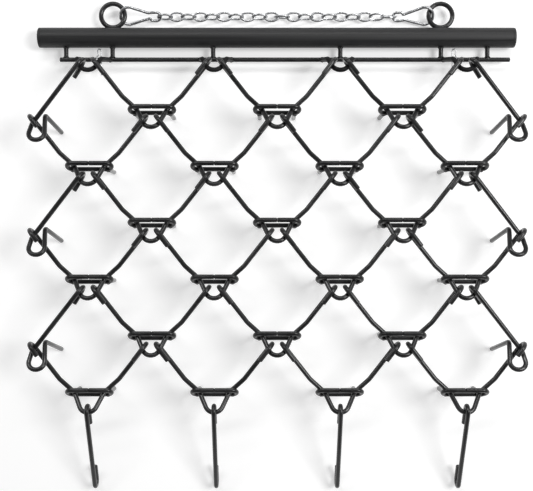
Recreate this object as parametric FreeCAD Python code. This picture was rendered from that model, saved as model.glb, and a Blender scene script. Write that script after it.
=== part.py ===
import FreeCAD, Part
import math
import os

os.makedirs("parts", exist_ok=True)
Vector = FreeCAD.Vector
up = Vector(0, 0, 1)

# Driving dimensions in millimetres. X runs across the harrow, +Y is the towing direction, +Z is up.

# Round bar of the mat, drawn with flat sides so that the many links stay light
rod_diameter = 12.0
rod_flat_count = 6
collar_flat_count = 6
seat_gap = 0.75

# Layout of the mat
link_pitch = 310.0
row_pitch = 140.0
row_count = 6
wide_row_link_count = 4
arm_height = 104.0

# A link: two arms that end in hooks, a waist held by the collar, and a loop that tilts up behind it
waist_half_width = 37.0
knee_out = 36.5
knee_ahead = 33.0
knee_rise = 2.0
loop_length = 52.0
loop_tilt = 28.0
loop_radius = 22.0
hook_side = 21.8
hook_radius = 16.6
tail_length = 35.0
tail_splay = 2.0
outer_tail_length = 20.0
fillet_step_count = 2
loop_step_count = 4
seat_halving_count = 14

# The collar that grips a waist, and its two tines
collar_half_length = 60.5
collar_lean = 60.0
collar_joint_gap = 0.8
tine_out = 44.0
tine_diameter = 12.0
tine_point_length = 7.0
tine_point_share = 0.45

# The side bars that close the mat's left and right edges
side_tail_length = 34.0
side_tail_splay = 6.0
eye_kink = 8.0
eye_left = 13.5
eye_right = 31.0
eye_depth = 48.0
eye_bend = 19.0
side_tine_out = 24.0
side_tine_ahead = 17.0
side_tine_lean_in = 19.0
side_tine_lean_back = 32.0
side_tine_bend = 10.0

# The four hooks that hang from the last row
end_hook_radius = 13.5
end_hook_length = 222.0
end_hook_play = 2.0
end_hook_seat = 1.15
end_hook_tail = 30.0
end_hook_tip = 38.0

# The drawbar: tube, plugs, posts, hanger rod and its raised loops
tube_diameter = 50.8
tube_wall = 3.0
tube_length = 1207.2
plug_thickness = 6.0
plug_depth = 22.0
plug_gap = 0.1
post_length = 25.0
post_insets = (440.6, 182.6, 63.6)
hanger_left_inset = 47.6
hanger_right_inset = 5.6
shoulder_share = 0.34
loop_foot_half_width = 39.5

# Tow rings
ring_outer_diameter = 75.0
ring_inset = 183.6
ring_sink = 6.3
ring_step_count = 12

# Hairpin clips through the hanger rod
clip_wire = 3.0
clip_flat_count = 6
clip_inset = 153.6
clip_hole_gap = 0.2
clip_leg_length = 40.0
clip_head_reach = 20.0
clip_dip_share = 0.6
clip_lean = 50.0
clip_tip_length = 7.0

# Tow chain with a spring snap at each end
chain_wire = 6.0
chain_flat_count = 6
chain_width = 27.0
chain_link_count = 20
chain_gap = 0.35
chain_slack = 4.0
chain_twist = (110.0, 55.0)
snap_wire = 8.0
snap_flat_count = 6
snap_bow_radius = 24.0
snap_eye_radius = 11.5
snap_length = 110.0
snap_bend_share = 0.9
snap_neck_half_width = 6.5
snap_neck_length = 19.0
snap_roll = 40.0
snap_play = 2.0
tongue_thickness = 4.0
tongue_gap = 0.3
gate_nose_share = 0.36
gate_pin_diameter = 3.0
gate_pin_gap = 0.05
gate_end_gap = 1.7
gate_pin_inset = 6.0
overrun = 1.0

# Sizes worked out from those above
rod_radius = rod_diameter / 2
across_flats = rod_diameter * math.cos(math.pi / rod_flat_count)
quarter_turn = 90.0
outer_waist_place = (wide_row_link_count - 1) / 2 * link_pitch
tube_radius = tube_diameter / 2
tube_height = tube_radius
tilt = math.radians(loop_tilt)
tube_y = tube_radius + post_length + rod_radius
ring_wire_radius = rod_radius
ring_place = tube_length / 2 - ring_inset
clip_place = tube_length / 2 - clip_inset
ring_radius = ring_outer_diameter / 2 - ring_wire_radius
ring_y = tube_y + tube_radius + ring_radius + ring_wire_radius - ring_sink


def bend(before, corner, after, radius, steps):
    # The corners of a few straight runs that stand round a bend of this radius
    back = (before - corner).normalize()
    ahead = (after - corner).normalize()
    turn = math.pi - back.getAngle(ahead)
    start = corner + back * (radius * math.tan(turn / 2))
    end = corner + ahead * (radius * math.tan(turn / 2))
    centre = corner + (back + ahead).normalize() * (radius / math.cos(turn / 2))
    axis = (start - centre).cross(end - centre)
    share = turn / steps
    arm = (start - centre) * (1 / math.cos(share / 2))
    points = []
    for step in range(steps):
        angle = math.degrees((step + 0.5) * share)
        points.append(centre + FreeCAD.Rotation(axis, angle).multVec(arm))
    return points


def bent_path(corners, radii, steps):
    # A path through the corners, with every corner that has a radius rounded
    path = [corners[0]]
    for place in range(1, len(corners) - 1):
        if radii[place - 1] == 0:
            path.append(corners[place])
        else:
            path += bend(corners[place - 1], corners[place], corners[place + 1],
                         radii[place - 1], steps[place - 1])
    path.append(corners[-1])
    return path


def closed_path(corners, radius, steps):
    # The same for a ring of corners
    path = []
    count = len(corners)
    for place in range(count):
        path += bend(corners[place - 1], corners[place], corners[(place + 1) % count], radius, steps)
    return path


def slide_to_plane(points, direction, place, normal):
    # Carries a section along a run until it lies in the mitre plane
    return [p + direction * ((place - p).dot(normal) / direction.dot(normal)) for p in points]


def section(place, direction, radius, flats):
    # A regular outline square to the direction, with a flat side level where it can be
    side = direction.cross(up)
    if side.Length < 0.01:
        side = Vector(1, 0, 0)
    side.normalize()
    other = direction.cross(side).normalize()
    outline = []
    for corner in range(flats):
        angle = math.pi / 2 + 2 * math.pi * (corner - 0.5) / flats
        outline.append(place + side * (radius * math.cos(angle)) + other * (radius * math.sin(angle)))
    return outline


def solid_of(faces):
    solid = Part.Solid(Part.Shell(faces))
    if solid.Volume < 0:
        solid.reverse()
    return solid


def face_of(points):
    return Part.Face(Part.makePolygon(points + [points[0]]))


def walls(first, second):
    # The flat sides between two sections
    count = len(first)
    sides = []
    for corner in range(count):
        following = (corner + 1) % count
        sides.append(face_of([first[corner], first[following], second[following], second[corner]]))
    return sides


def bar(path, diameter, flats, point_length=0.0, point_share=1.0):
    # A bar of constant section along straight runs with mitred bends, and a tapered point if one is asked for
    runs = [(path[i + 1] - path[i]).normalize() for i in range(len(path) - 1)]
    sections = [section(path[0], runs[0], diameter / 2, flats)]
    for place in range(1, len(path) - 1):
        mitre = (runs[place - 1] + runs[place]).normalize()
        sections.append(slide_to_plane(sections[-1], runs[place - 1], path[place], mitre))
    last = path[-1] - runs[-1] * point_length
    sections.append(slide_to_plane(sections[-1], runs[-1], last, runs[-1]))
    if point_length > 0:
        tip = [path[-1] + (p - last) * point_share for p in sections[-1]]
        sections.append(tip)
    faces = [face_of(sections[0][::-1]), face_of(sections[-1])]
    for place in range(len(sections) - 1):
        faces += walls(sections[place], sections[place + 1])
    return solid_of(faces)


def ring_bar(path, diameter, flats):
    # A closed bar in one plane, mitred at every corner
    count = len(path)
    runs = [(path[(i + 1) % count] - path[i]).normalize() for i in range(count)]
    start = section(path[0], runs[-1], diameter / 2, flats)
    sections = [slide_to_plane(start, runs[-1], path[0], (runs[-1] + runs[0]).normalize())]
    for place in range(1, count):
        mitre = (runs[place - 1] + runs[place]).normalize()
        sections.append(slide_to_plane(sections[-1], runs[place - 1], path[place], mitre))
    faces = []
    for place in range(count):
        faces += walls(sections[place], sections[(place + 1) % count])
    return solid_of(faces)


def mirrored(points):
    return [Vector(-p.x, p.y, p.z) for p in points]


def loop_corner():
    # Where the two legs of a loop would meet, measured along the tilted loop from the waist
    reach = loop_length - loop_radius
    half_angle = math.acos(loop_radius / math.hypot(waist_half_width, reach))
    half_angle -= math.atan2(reach, waist_half_width)
    return waist_half_width / math.tan(half_angle)


def on_loop(across, along):
    # A point of the tilted loop plane, from the link's own waist centre
    return Vector(across, -along * math.cos(tilt), along * math.sin(tilt))


def loop_bend():
    # The corners of the rounded bottom of a loop, left to right
    left = on_loop(-waist_half_width, 0)
    right = on_loop(waist_half_width, 0)
    return bend(left, on_loop(0, loop_corner()), right, loop_radius, loop_step_count)


def crossing_on_loop():
    # Where a hook crosses the right leg of a loop
    path = loop_bend() + [on_loop(waist_half_width, 0)]
    for first, second in zip(path, path[1:]):
        if first.x <= hook_side <= second.x:
            share = (hook_side - first.x) / (second.x - first.x)
            return first + (second - first) * share


def hook_corners(crossing, along, rise, tail, splay, reach):
    # Tail end and both corners of a hook. Its bend stands this far past the bar it holds.
    lift = up * (hook_radius * rise)
    side = up.cross(along) * splay
    past = along * reach
    return [crossing + along * tail + lift + side, crossing - past + lift, crossing - past - lift]


def seated_hook(crossing, held, along, rise, tail, splay, onward):
    # The same hook, pulled back until its bend rests against the held bar. Its arm runs on to the last point.
    close, far = 0.0, hook_radius + rod_radius
    for halving in range(seat_halving_count):
        reach = (close + far) / 2
        corners = hook_corners(crossing, along, rise, tail, splay, reach)
        path = bent_path(corners + [onward], [hook_radius] * 2, [fillet_step_count] * 2)
        if bar(path, rod_diameter, rod_flat_count).distToShape(held)[0] < seat_gap:
            close = reach
        else:
            far = reach
    return hook_corners(crossing, along, rise, tail, splay, far)


def plain_loop(centre):
    # A loop on its own, for seating the hooks on
    path = [on_loop(-waist_half_width, 0)] + loop_bend() + [on_loop(waist_half_width, 0)]
    return bar([centre + p for p in path], rod_diameter, rod_flat_count)


def row_y(row):
    return -row_pitch * row


def waists_of(row):
    # Middles of the links of a row; odd rows have one link fewer than even rows
    count = wide_row_link_count - row % 2
    places = [(number - (count - 1) / 2) * link_pitch for number in range(count)]
    return [Vector(x, row_y(row), arm_height) for x in places]


def knee():
    return Vector(-waist_half_width - knee_out, knee_ahead, knee_rise)


def hold_of_arm():
    # Where the left arm's hook crosses the loop ahead of it, from the link's own waist centre
    place = Vector(-link_pitch / 2, row_pitch, 0) + crossing_on_loop()
    along = knee() - place
    return place, Vector(along.x, along.y, 0).normalize()


def link_half(tail):
    # Corners of the left arm, from its tail end to the waist
    place, along = hold_of_arm()
    held = plain_loop(Vector(-link_pitch / 2, row_pitch, 0))
    corners = seated_hook(place, held, along, 1, tail, tail_splay, knee())
    return corners + [knee(), Vector(-waist_half_width, 0, 0)]


def link_path(left_tail, right_tail):
    left = link_half(left_tail)
    right = mirrored(link_half(right_tail))[::-1]
    corners = left + [on_loop(0, loop_corner())] + right
    radii = [hook_radius, hook_radius, 0, 0, loop_radius, 0, 0, hook_radius, hook_radius]
    hook_steps = [fillet_step_count] * 2
    steps = hook_steps + [0, 0, loop_step_count, 0, 0] + hook_steps
    return bent_path(corners, radii, steps)


def moved(solid, place):
    # A copy carried from the origin to this place
    copy = solid.copy()
    copy.translate(place)
    return copy


def collar_bars():
    # Centres of the collar's front bar, above the arms, and of its rear bar, below the loop's legs
    front_slope = math.atan2(knee_rise, knee_ahead)
    rise = rod_diameter / math.cos(front_slope) + rod_diameter / math.cos(tilt)
    lean = math.tan(math.radians(collar_lean))
    front_y = rise / (2 * lean + math.tan(tilt) - math.tan(front_slope))
    front = Vector(0, front_y, front_y * math.tan(front_slope) + rod_diameter / math.cos(front_slope))
    rear = Vector(0, -front_y, front_y * math.tan(tilt) - rod_diameter / math.cos(tilt))
    return front, rear


def collar_solid():
    # One bar bent to a long ring, with its two ends meeting in the middle of the front bar
    front, rear = collar_bars()
    radius = (front - rear).Length / 2
    end = Vector(collar_half_length - rod_radius, 0, 0)
    gap = Vector(collar_joint_gap / 2, 0, 0)
    corners = [front - gap, front - end, rear - end, rear + end, front + end, front + gap]
    path = bent_path(corners, [radius] * 4, [fillet_step_count] * 4)
    return bar(path, rod_diameter, collar_flat_count)


def tine_solid(side):
    # An upright bar that meets the flat underside of the collar's rear bar
    flat_depth = rod_radius * math.cos(math.pi / collar_flat_count)
    top = collar_bars()[1] + Vector(side * tine_out, 0, -flat_depth)
    foot = Vector(top.x, top.y, -arm_height)
    return bar([top, foot], tine_diameter, collar_flat_count)


def side_bar_path(row):
    # The left side bar of an odd row: hook, long arm, eye for the next row's hook, and its own tine
    loop_centre = Vector(-outer_waist_place, row_y(row - 1), arm_height)
    hold = loop_centre + mirrored([crossing_on_loop()])[0]
    eye_hold = Vector(-outer_waist_place, row_y(row + 1), arm_height) + hold_of_arm()[0]
    along = eye_hold - hold
    along = Vector(along.x, along.y, 0).normalize()
    held = plain_loop(loop_centre)
    corners = seated_hook(hold, held, along, -1, side_tail_length, side_tail_splay, eye_hold)
    arm_top = corners[-1]
    run = (eye_hold - arm_top).normalize()
    kink = eye_hold + run * eye_kink
    climb = math.tan(tilt)
    start_y = kink.y - eye_hold.y

    def eye_point(across, ahead):
        return eye_hold + Vector(across, ahead, (kink.z - eye_hold.z) + (start_y - ahead) * climb)

    corners += [kink, eye_point(-eye_left, -eye_depth), eye_point(eye_right, -eye_depth)]
    top = eye_point(side_tine_out, side_tine_ahead)
    foot = Vector(top.x + side_tine_lean_in, top.y - side_tine_lean_back, 0)
    corners += [top, foot]
    radii = [hook_radius, hook_radius, 0, eye_bend, eye_bend, side_tine_bend]
    steps = [fillet_step_count] * 2 + [0] + [fillet_step_count + 1] * 3
    return bent_path(corners, radii, steps)


def side_bar_solid(path):
    return bar(path, rod_diameter, rod_flat_count, tine_point_length, tine_point_share)


def end_hook_slope():
    # The shank's slope that lets its rear bend rest on the ground
    corner_share = math.cos(math.radians(quarter_turn / fillet_step_count) / 2)
    rest_height = (end_hook_radius + rod_radius) / corner_share
    drop = arm_height + loop_length * math.sin(tilt) - rest_height
    rise = end_hook_radius - across_flats - end_hook_seat
    return math.asin(drop / math.hypot(rise, end_hook_length)) - math.atan2(rise, end_hook_length)


def end_hook_solid(waist):
    # A double hook in one upright plane: over the loop's bottom in front, and turned under at the rear
    slope = end_hook_slope()
    back = Vector(0, -math.cos(slope), -math.sin(slope))
    over = Vector(0, -math.sin(slope), math.cos(slope))
    bottom = waist + on_loop(0, loop_length)
    shank = bottom + over * (across_flats + end_hook_seat)
    under = over * (-2 * end_hook_radius)
    front = shank - back * (end_hook_play + end_hook_radius)
    rear = shank + back * (end_hook_length + end_hook_radius)
    tail = front + under + back * (end_hook_play + end_hook_radius + end_hook_tail)
    tip = rear + under - back * (end_hook_radius + end_hook_tip)
    corners = [tail, front + under, front, rear, rear + under, tip]
    return bar(bent_path(corners, [end_hook_radius] * 4, [fillet_step_count] * 4), rod_diameter, rod_flat_count)


def tube_solid():
    start = Vector(-tube_length / 2, tube_y, tube_height)
    along = Vector(1, 0, 0)
    outside = Part.makeCylinder(tube_radius, tube_length, start, along)
    return outside.cut(Part.makeCylinder(tube_radius - tube_wall, tube_length, start, along))


def plug_solid(side):
    # A plastic end plug: a flange as wide as the tube and a spigot inside it
    face = Vector(side * tube_length / 2, tube_y, tube_height)
    out = Vector(side, 0, 0)
    flange = Part.makeCylinder(tube_radius, plug_thickness, face, out)
    spigot = Part.makeCylinder(tube_radius - tube_wall - plug_gap, plug_depth, face - out * plug_depth, out)
    return flange.fuse(spigot).Solids[0]


def post_solid(place):
    ahead = Vector(place, rod_radius + post_length, tube_height)
    return bar([Vector(place, rod_radius, tube_height), ahead], rod_diameter, rod_flat_count)


def plain_hanger_rod():
    start = Vector(hanger_left_inset - tube_length / 2, 0, tube_height)
    end = Vector(tube_length / 2 - hanger_right_inset, 0, tube_height)
    return bar([start, end], rod_diameter, rod_flat_count)


def hanger_rod_solid():
    rod = plain_hanger_rod()
    for place in (-clip_place, clip_place):
        ends = [Vector(place, y, tube_height) for y in (-rod_diameter, rod_diameter)]
        rod = rod.cut(bar(ends, clip_wire + 2 * clip_hole_gap, clip_flat_count))
    return rod


def raised_loop_solid(place):
    # A loop like a link's, on two steep legs that stand on the hanger rod
    centre = Vector(place, 0, arm_height)
    share = shoulder_share * loop_length
    width = waist_half_width * (1 - share / loop_corner())
    shoulder = centre + on_loop(width, share)
    foot_centre = Vector(place + loop_foot_half_width, 0, tube_height)
    bottom = [centre + p for p in loop_bend()]
    half = [shoulder, foot_centre]
    other = [Vector(2 * place - p.x, p.y, p.z) for p in half][::-1]
    pieces = bar(other + bottom + half, rod_diameter, rod_flat_count).cut(plain_hanger_rod()).Solids
    return max(pieces, key=lambda piece: piece.Volume)


def tow_ring_solid(side):
    centre = Vector(side * ring_place, ring_y, tube_height)
    corners = []
    for step in range(ring_step_count):
        angle = 2 * math.pi * (step + 0.5) / ring_step_count
        corners.append(centre + Vector(math.cos(angle), math.sin(angle), 0) * ring_radius)
    ring = ring_bar(corners, 2 * ring_wire_radius, rod_flat_count)
    start = Vector(-tube_length / 2, tube_y, tube_height)
    return ring.cut(Part.makeCylinder(tube_radius, tube_length, start, Vector(1, 0, 0)))


def clip_solid(side):
    # A hairpin clip: a straight leg through the rod and a waved leg that rides over it
    lean = math.radians(clip_lean)
    out = Vector(side * math.sin(lean), 0, math.cos(lean))
    hole = Vector(side * clip_place, 0, tube_height)
    height = (rod_radius + clip_wire / 2 + seat_gap) / math.cos(lean)
    head = Vector(0, clip_head_reach + height / 2, 0)
    crest = out * height
    dip = out * (height * clip_dip_share)
    corners = [
        hole - Vector(0, clip_leg_length, 0),
        hole + head,
        hole + head + crest,
        hole + Vector(0, clip_head_reach / 2, 0) + dip,
        hole + Vector(0, rod_radius, 0) + crest,
        hole - Vector(0, rod_radius, 0) + crest,
        hole - Vector(0, clip_head_reach / 2, 0) + dip,
        hole - Vector(0, clip_head_reach / 2 + clip_tip_length, 0) + crest,
    ]
    radii = [height / 2, height / 2, 0, 0, 0, 0]
    return bar(bent_path(corners, radii, [fillet_step_count] * 6), clip_wire, clip_flat_count)


def chain_link_solid(centre, roll):
    # An oval link, rolled from lying flat by this angle
    half_length = (chain_pitch() + chain_wire) / 2
    radius = (chain_width - chain_wire) / 2
    turn = math.radians(roll)
    side = Vector(0, math.cos(turn), math.sin(turn))
    ahead = Vector(half_length, 0, 0)
    corners = [centre + ahead + side * radius, centre - ahead + side * radius,
               centre - ahead - side * radius, centre + ahead - side * radius]
    return ring_bar(closed_path(corners, radius, fillet_step_count), chain_wire, chain_flat_count)


def snap_frame(side):
    # Origin and directions of a snap: along its length, across it towards its solid side, and square to both
    chain_height = chain_width / 2
    place = ring_place - ring_radius + ring_wire_radius + snap_wire / 2 + snap_play
    slope = math.asin((tube_height - chain_height) / (snap_length - snap_wire))
    roll = math.radians(snap_roll)
    along = Vector(-side * math.cos(slope), 0, -math.sin(slope))
    rise = (up - along * up.dot(along)).normalize()
    across = (Vector(0, 1, 0) * math.cos(roll) + rise * math.sin(roll)) * -side
    return Vector(side * place, ring_y, tube_height), along, across, along.cross(across)


def snap_point(side, forward, sideways):
    bow, along, across, normal = snap_frame(side)
    return bow + along * forward + across * sideways


def snap_places():
    # Lengths along a snap, from the middle of the bow's wire
    eye_centre = snap_length - snap_wire - snap_eye_radius
    neck = eye_centre - snap_neck_length
    nose = gate_nose_share * neck
    taper = (nose - snap_bow_radius) / (neck - snap_bow_radius)
    nose_half = snap_bow_radius + (snap_neck_half_width - snap_bow_radius) * taper
    return eye_centre, neck, nose, nose_half


def gate_ends(side):
    # Ends of the gap in a snap's wire, and the direction from its lug to its nose
    eye_centre, neck, nose, nose_half = snap_places()
    lug_end = snap_point(side, neck, -snap_neck_half_width)
    nose_end = snap_point(side, nose, -nose_half)
    return lug_end, nose_end, (nose_end - lug_end).normalize()


def snap_wire_solid(side):
    # Wire from the nose round the bow, down the solid side, round the eye and back to the gate's lug
    eye_centre, neck, nose, nose_half = snap_places()
    lug_end, nose_end, along = gate_ends(side)
    places = [
        (snap_bow_radius, -snap_bow_radius),
        (0, -snap_bow_radius),
        (0, snap_bow_radius),
        (snap_bow_radius, snap_bow_radius),
        (neck, snap_neck_half_width),
        (eye_centre - snap_eye_radius, snap_eye_radius),
        (eye_centre + snap_eye_radius, snap_eye_radius),
        (eye_centre + snap_eye_radius, -snap_eye_radius),
        (eye_centre - snap_eye_radius, -snap_eye_radius),
    ]
    corners = [nose_end] + [snap_point(side, *place) for place in places]
    corners += [lug_end - along * (snap_wire / 2), lug_end]
    bow_bend = snap_bend_share * snap_bow_radius
    eye_bend = snap_bend_share * snap_eye_radius
    radii = [0, bow_bend, bow_bend, 0, 0, 0, eye_bend, eye_bend, 0, 0]
    return bar(bent_path(corners, radii, [fillet_step_count] * len(radii)), snap_wire, snap_flat_count)


def flat_block(start, run, normal, length, width, thickness):
    # A block that runs on from the start, level with the snap's plane
    across = normal.cross(run).normalize()
    block = Part.makeBox(length + overrun, width, thickness)
    block.Placement = FreeCAD.Placement(
        start - run * overrun - across * (width / 2) - normal * (thickness / 2),
        FreeCAD.Rotation(run, across, normal, "XYZ"))
    return block


def gate_pin_place(side):
    lug_end, nose_end, along = gate_ends(side)
    return lug_end + along * gate_pin_inset, snap_frame(side)[3]


def gate_bore(side, diameter):
    place, normal = gate_pin_place(side)
    length = snap_wire + 2 * overrun
    return Part.makeCylinder(diameter / 2, length, place - normal * (length / 2), normal)


def snap_body_solid(side):
    # The wire with a flat tongue at its lug and one at its nose, drilled for the gate's pin
    lug_end, nose_end, along = gate_ends(side)
    normal = snap_frame(side)[3]
    width = snap_wire * math.cos(math.pi / snap_flat_count)
    length = 2 * gate_pin_inset
    tongues = [flat_block(lug_end, along, normal, length, width, tongue_thickness),
               flat_block(nose_end, along * -1, normal, length, width, tongue_thickness)]
    return snap_wire_solid(side).fuse(tongues).cut(gate_bore(side, gate_pin_diameter)).Solids[0]


def snap_gate_solid(side):
    # A bar that closes the snap, slotted at both ends for the tongues
    lug_end, nose_end, along = gate_ends(side)
    normal = snap_frame(side)[3]
    start = lug_end + along * gate_end_gap
    end = nose_end - along * gate_end_gap
    gate = bar([start, end], snap_wire, snap_flat_count)
    slot = (2 * gate_pin_inset + tongue_gap, 2 * snap_wire, tongue_thickness + 2 * tongue_gap)
    gate = gate.cut([flat_block(start, along, normal, *slot), flat_block(end, along * -1, normal, *slot)])
    return gate.cut(gate_bore(side, gate_pin_diameter + 2 * gate_pin_gap)).Solids[0]


def gate_pin_solid(side):
    place, normal = gate_pin_place(side)
    return Part.makeCylinder(gate_pin_diameter / 2, snap_wire, place - normal * (snap_wire / 2), normal)


def chain_places():
    # Middles of the links that hang from the left snap, and of those that hang from the right one
    pitch = chain_pitch()
    inside_eye = snap_point(-1, snap_length - snap_wire, 0).x - (snap_wire + chain_wire) / 2 - chain_gap
    first = Vector(inside_eye + (pitch + chain_wire) / 2, ring_y, chain_width / 2)
    left = [first + Vector((pitch - chain_gap) * number, 0, 0) for number in range(chain_link_count // 2)]
    return left, [Vector(-p.x, p.y, p.z) for p in left]


def chain_pitch():
    # The inner length of a link that leaves this slack between the two middle links
    inside_eye = snap_point(1, snap_length - snap_wire, 0).x + (snap_wire + chain_wire) / 2 + chain_gap
    return (2 * inside_eye - chain_wire + (chain_link_count - 2) * chain_gap + chain_slack) / chain_link_count


def drawbar_nodes(nodes):
    nodes["tow_tube"] = [tube_solid()]
    nodes["tube_plugs"] = [plug_solid(-1), plug_solid(1)]
    nodes["tow_rings"] = [tow_ring_solid(-1), tow_ring_solid(1)]
    places = [side * (tube_length / 2 - inset) for inset in post_insets for side in (-1, 1)]
    nodes["hanger_posts"] = [post_solid(place) for place in places]
    nodes["hanger_rod"] = [hanger_rod_solid()]
    nodes["hanger_loops"] = [raised_loop_solid(waist.x) for waist in waists_of(0)]
    nodes["hairpin_clip_left"] = [clip_solid(-1)]
    nodes["hairpin_clip_right"] = [clip_solid(1)]


def mat_nodes(nodes):
    inner_link = bar(link_path(tail_length, tail_length), rod_diameter, rod_flat_count)
    left_link = bar(link_path(outer_tail_length, tail_length), rod_diameter, rod_flat_count)
    right_link = bar(link_path(tail_length, outer_tail_length), rod_diameter, rod_flat_count)
    collar = collar_solid()
    tines = [tine_solid(-1), tine_solid(1)]
    side_path = side_bar_path(1)
    side_bars = {"left": side_bar_solid(side_path), "right": side_bar_solid(mirrored(side_path))}
    for row in range(1, row_count + 1):
        waists = waists_of(row)
        even_row_links = [left_link] + [inner_link] * (len(waists) - 2) + [right_link]
        links = [inner_link] * len(waists) if row % 2 else even_row_links
        for number, (waist, link) in enumerate(zip(waists, links), 1):
            nodes[f"link_row{row}_{number}"] = [moved(link, waist)]
        nodes[f"collars_row{row}"] = [moved(collar, waist) for waist in waists]
        nodes[f"tines_row{row}"] = [moved(tine, waist) for waist in waists for tine in tines]
        if row % 2:
            for side, solid in side_bars.items():
                nodes[f"side_bar_row{row}_{side}"] = [moved(solid, Vector(0, row_y(row) - row_y(1), 0))]
    for number, waist in enumerate(waists_of(row_count), 1):
        nodes[f"end_hook_{number}"] = [end_hook_solid(waist)]


def tow_nodes(nodes):
    for side, name in ((-1, "left"), (1, "right")):
        nodes[f"snap_body_{name}"] = [snap_body_solid(side)]
        nodes[f"snap_gate_{name}"] = [snap_gate_solid(side)]
        nodes[f"gate_pin_{name}"] = [gate_pin_solid(side)]
    left, right = chain_places()
    left_rolls = [quarter_turn * (number + 1) for number in range(len(left))]
    right_rolls = list(chain_twist) + [quarter_turn * number for number in range(len(chain_twist), len(right))]
    nodes["chain_left"] = [chain_link_solid(p, roll) for p, roll in zip(left, left_rolls)]
    nodes["chain_right"] = [chain_link_solid(p, roll) for p, roll in zip(right, right_rolls)]


def hinge_points():
    # Points on the joint axes, before the model is centred
    crossing = crossing_on_loop()
    points = {}
    for row in range(1, row_count + 1):
        ahead = Vector(0, row_y(row - 1), arm_height)
        points[f"row_{row}"] = ahead + Vector(0, crossing.y, crossing.z)
    for number, waist in enumerate(waists_of(row_count), 1):
        points[f"end_hook_{number}"] = waist + on_loop(0, loop_length)
    for side, name in ((-1, "left"), (1, "right")):
        points[f"tow_{name}"] = snap_frame(side)[0]
        points[f"gate_{name}"], points[f"gate_{name}_axis"] = gate_pin_place(side)
    return points


def save_nodes(nodes):
    # The origin is on the ground under the middle of the whole harrow
    box = Part.makeCompound([solid for solids in nodes.values() for solid in solids]).BoundBox
    shift = Vector(-(box.XMin + box.XMax) / 2, -(box.YMin + box.YMax) / 2, -box.ZMin)
    for name, solids in nodes.items():
        shape = solids[0] if len(solids) == 1 else Part.makeCompound(solids)
        shape = shape.copy()
        shape.translate(shift)
        shape.exportStep(f"parts/{name}.step")
    print("size", round(box.XLength, 2), round(box.YLength, 2), round(box.ZLength, 2))
    print("shift", [round(value, 4) for value in shift])
    for name, point in hinge_points().items():
        place = point if name.endswith("axis") else point + shift
        print("hinge", name, [round(value, 4) for value in place])


harrow_nodes = {}
drawbar_nodes(harrow_nodes)
mat_nodes(harrow_nodes)
tow_nodes(harrow_nodes)
save_nodes(harrow_nodes)
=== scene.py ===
import bpy
import bmesh
import math
from mathutils import Matrix, Vector


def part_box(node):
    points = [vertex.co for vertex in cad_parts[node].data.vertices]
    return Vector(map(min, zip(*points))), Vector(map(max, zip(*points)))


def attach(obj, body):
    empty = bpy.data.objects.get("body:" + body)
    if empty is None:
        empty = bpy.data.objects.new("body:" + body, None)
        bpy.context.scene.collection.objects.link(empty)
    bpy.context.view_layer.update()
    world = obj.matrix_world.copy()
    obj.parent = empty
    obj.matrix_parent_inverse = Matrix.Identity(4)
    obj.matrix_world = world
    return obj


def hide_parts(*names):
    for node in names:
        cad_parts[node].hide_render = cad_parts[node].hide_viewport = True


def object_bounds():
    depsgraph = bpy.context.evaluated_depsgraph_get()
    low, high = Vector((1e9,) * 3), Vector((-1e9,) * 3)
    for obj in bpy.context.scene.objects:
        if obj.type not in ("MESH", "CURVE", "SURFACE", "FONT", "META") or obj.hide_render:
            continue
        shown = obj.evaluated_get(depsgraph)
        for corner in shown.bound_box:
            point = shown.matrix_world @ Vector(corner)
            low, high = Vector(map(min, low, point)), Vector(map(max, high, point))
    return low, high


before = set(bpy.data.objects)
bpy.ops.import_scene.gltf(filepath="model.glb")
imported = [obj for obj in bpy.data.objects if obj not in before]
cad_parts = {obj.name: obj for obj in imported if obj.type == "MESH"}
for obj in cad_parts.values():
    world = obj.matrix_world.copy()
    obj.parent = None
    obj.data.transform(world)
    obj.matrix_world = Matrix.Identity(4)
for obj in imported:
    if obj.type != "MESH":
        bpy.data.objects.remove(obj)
cadLow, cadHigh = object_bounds()
print("frame loaded with", len(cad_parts), "nodes")

# The camera looks straight down. Its picture is 533 by 491.
cameraSetup = {"place": (-0.0262, -0.001, 2.335), "focalPixels": 900, "widthPixels": 533, "sensorWidth": 36.0,
               "nearClip": 0.05}

cameraData = bpy.data.cameras.new("camera")
cameraData.sensor_width = cameraSetup["sensorWidth"]
cameraData.lens = cameraSetup["sensorWidth"] * cameraSetup["focalPixels"] / cameraSetup["widthPixels"]
cameraData.clip_start = cameraSetup["nearClip"]
camera = bpy.data.objects.new("camera", cameraData)
camera.location = cameraSetup["place"]
bpy.context.scene.collection.objects.link(camera)
bpy.context.scene.camera = camera

# Sizes are in millimetres, with Y from the middle of the hanger rod and Z from the ground.
# A solid radius or wire is the size in the CAD part, where the drawn bar is a little thinner.
mm = 0.001
tube = {"radius": 25.4, "length": 1207.2, "wall": 3.0, "sides": 96, "edge": 0.8, "postLength": 25.0}
bars = {"diameter": 11.7, "solidRadius": 6.0, "sides": 20, "bendSteps": 9, "chamfer": 1.6,
        "chamferShare": 0.72, "smoothAngle": 33}
layout = {"linkPitch": 310, "rowPitch": 140, "rowCount": 6, "wideRowLinks": 4, "armHeight": 104}

rodLow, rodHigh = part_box("hanger_rod")
origin = Vector((0, (rodLow[1] + rodHigh[1]) / 2, (rodLow[2] + rodHigh[2]) / 2 - tube["radius"] * mm))


# Nodes

def socketOf(sockets, key):
    for socket in sockets:
        if socket.identifier == key:
            return socket
    return sockets[key]


def addNode(tree, kind, settings=None, inputs=None):
    # Settings come first, because some of them change which sockets there are
    made = tree.nodes.new(kind)
    for key, value in (settings or {}).items():
        setattr(made, key, value)
    for key, value in (inputs or {}).items():
        feed(tree, socketOf(made.inputs, key), value)
    return made


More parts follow.
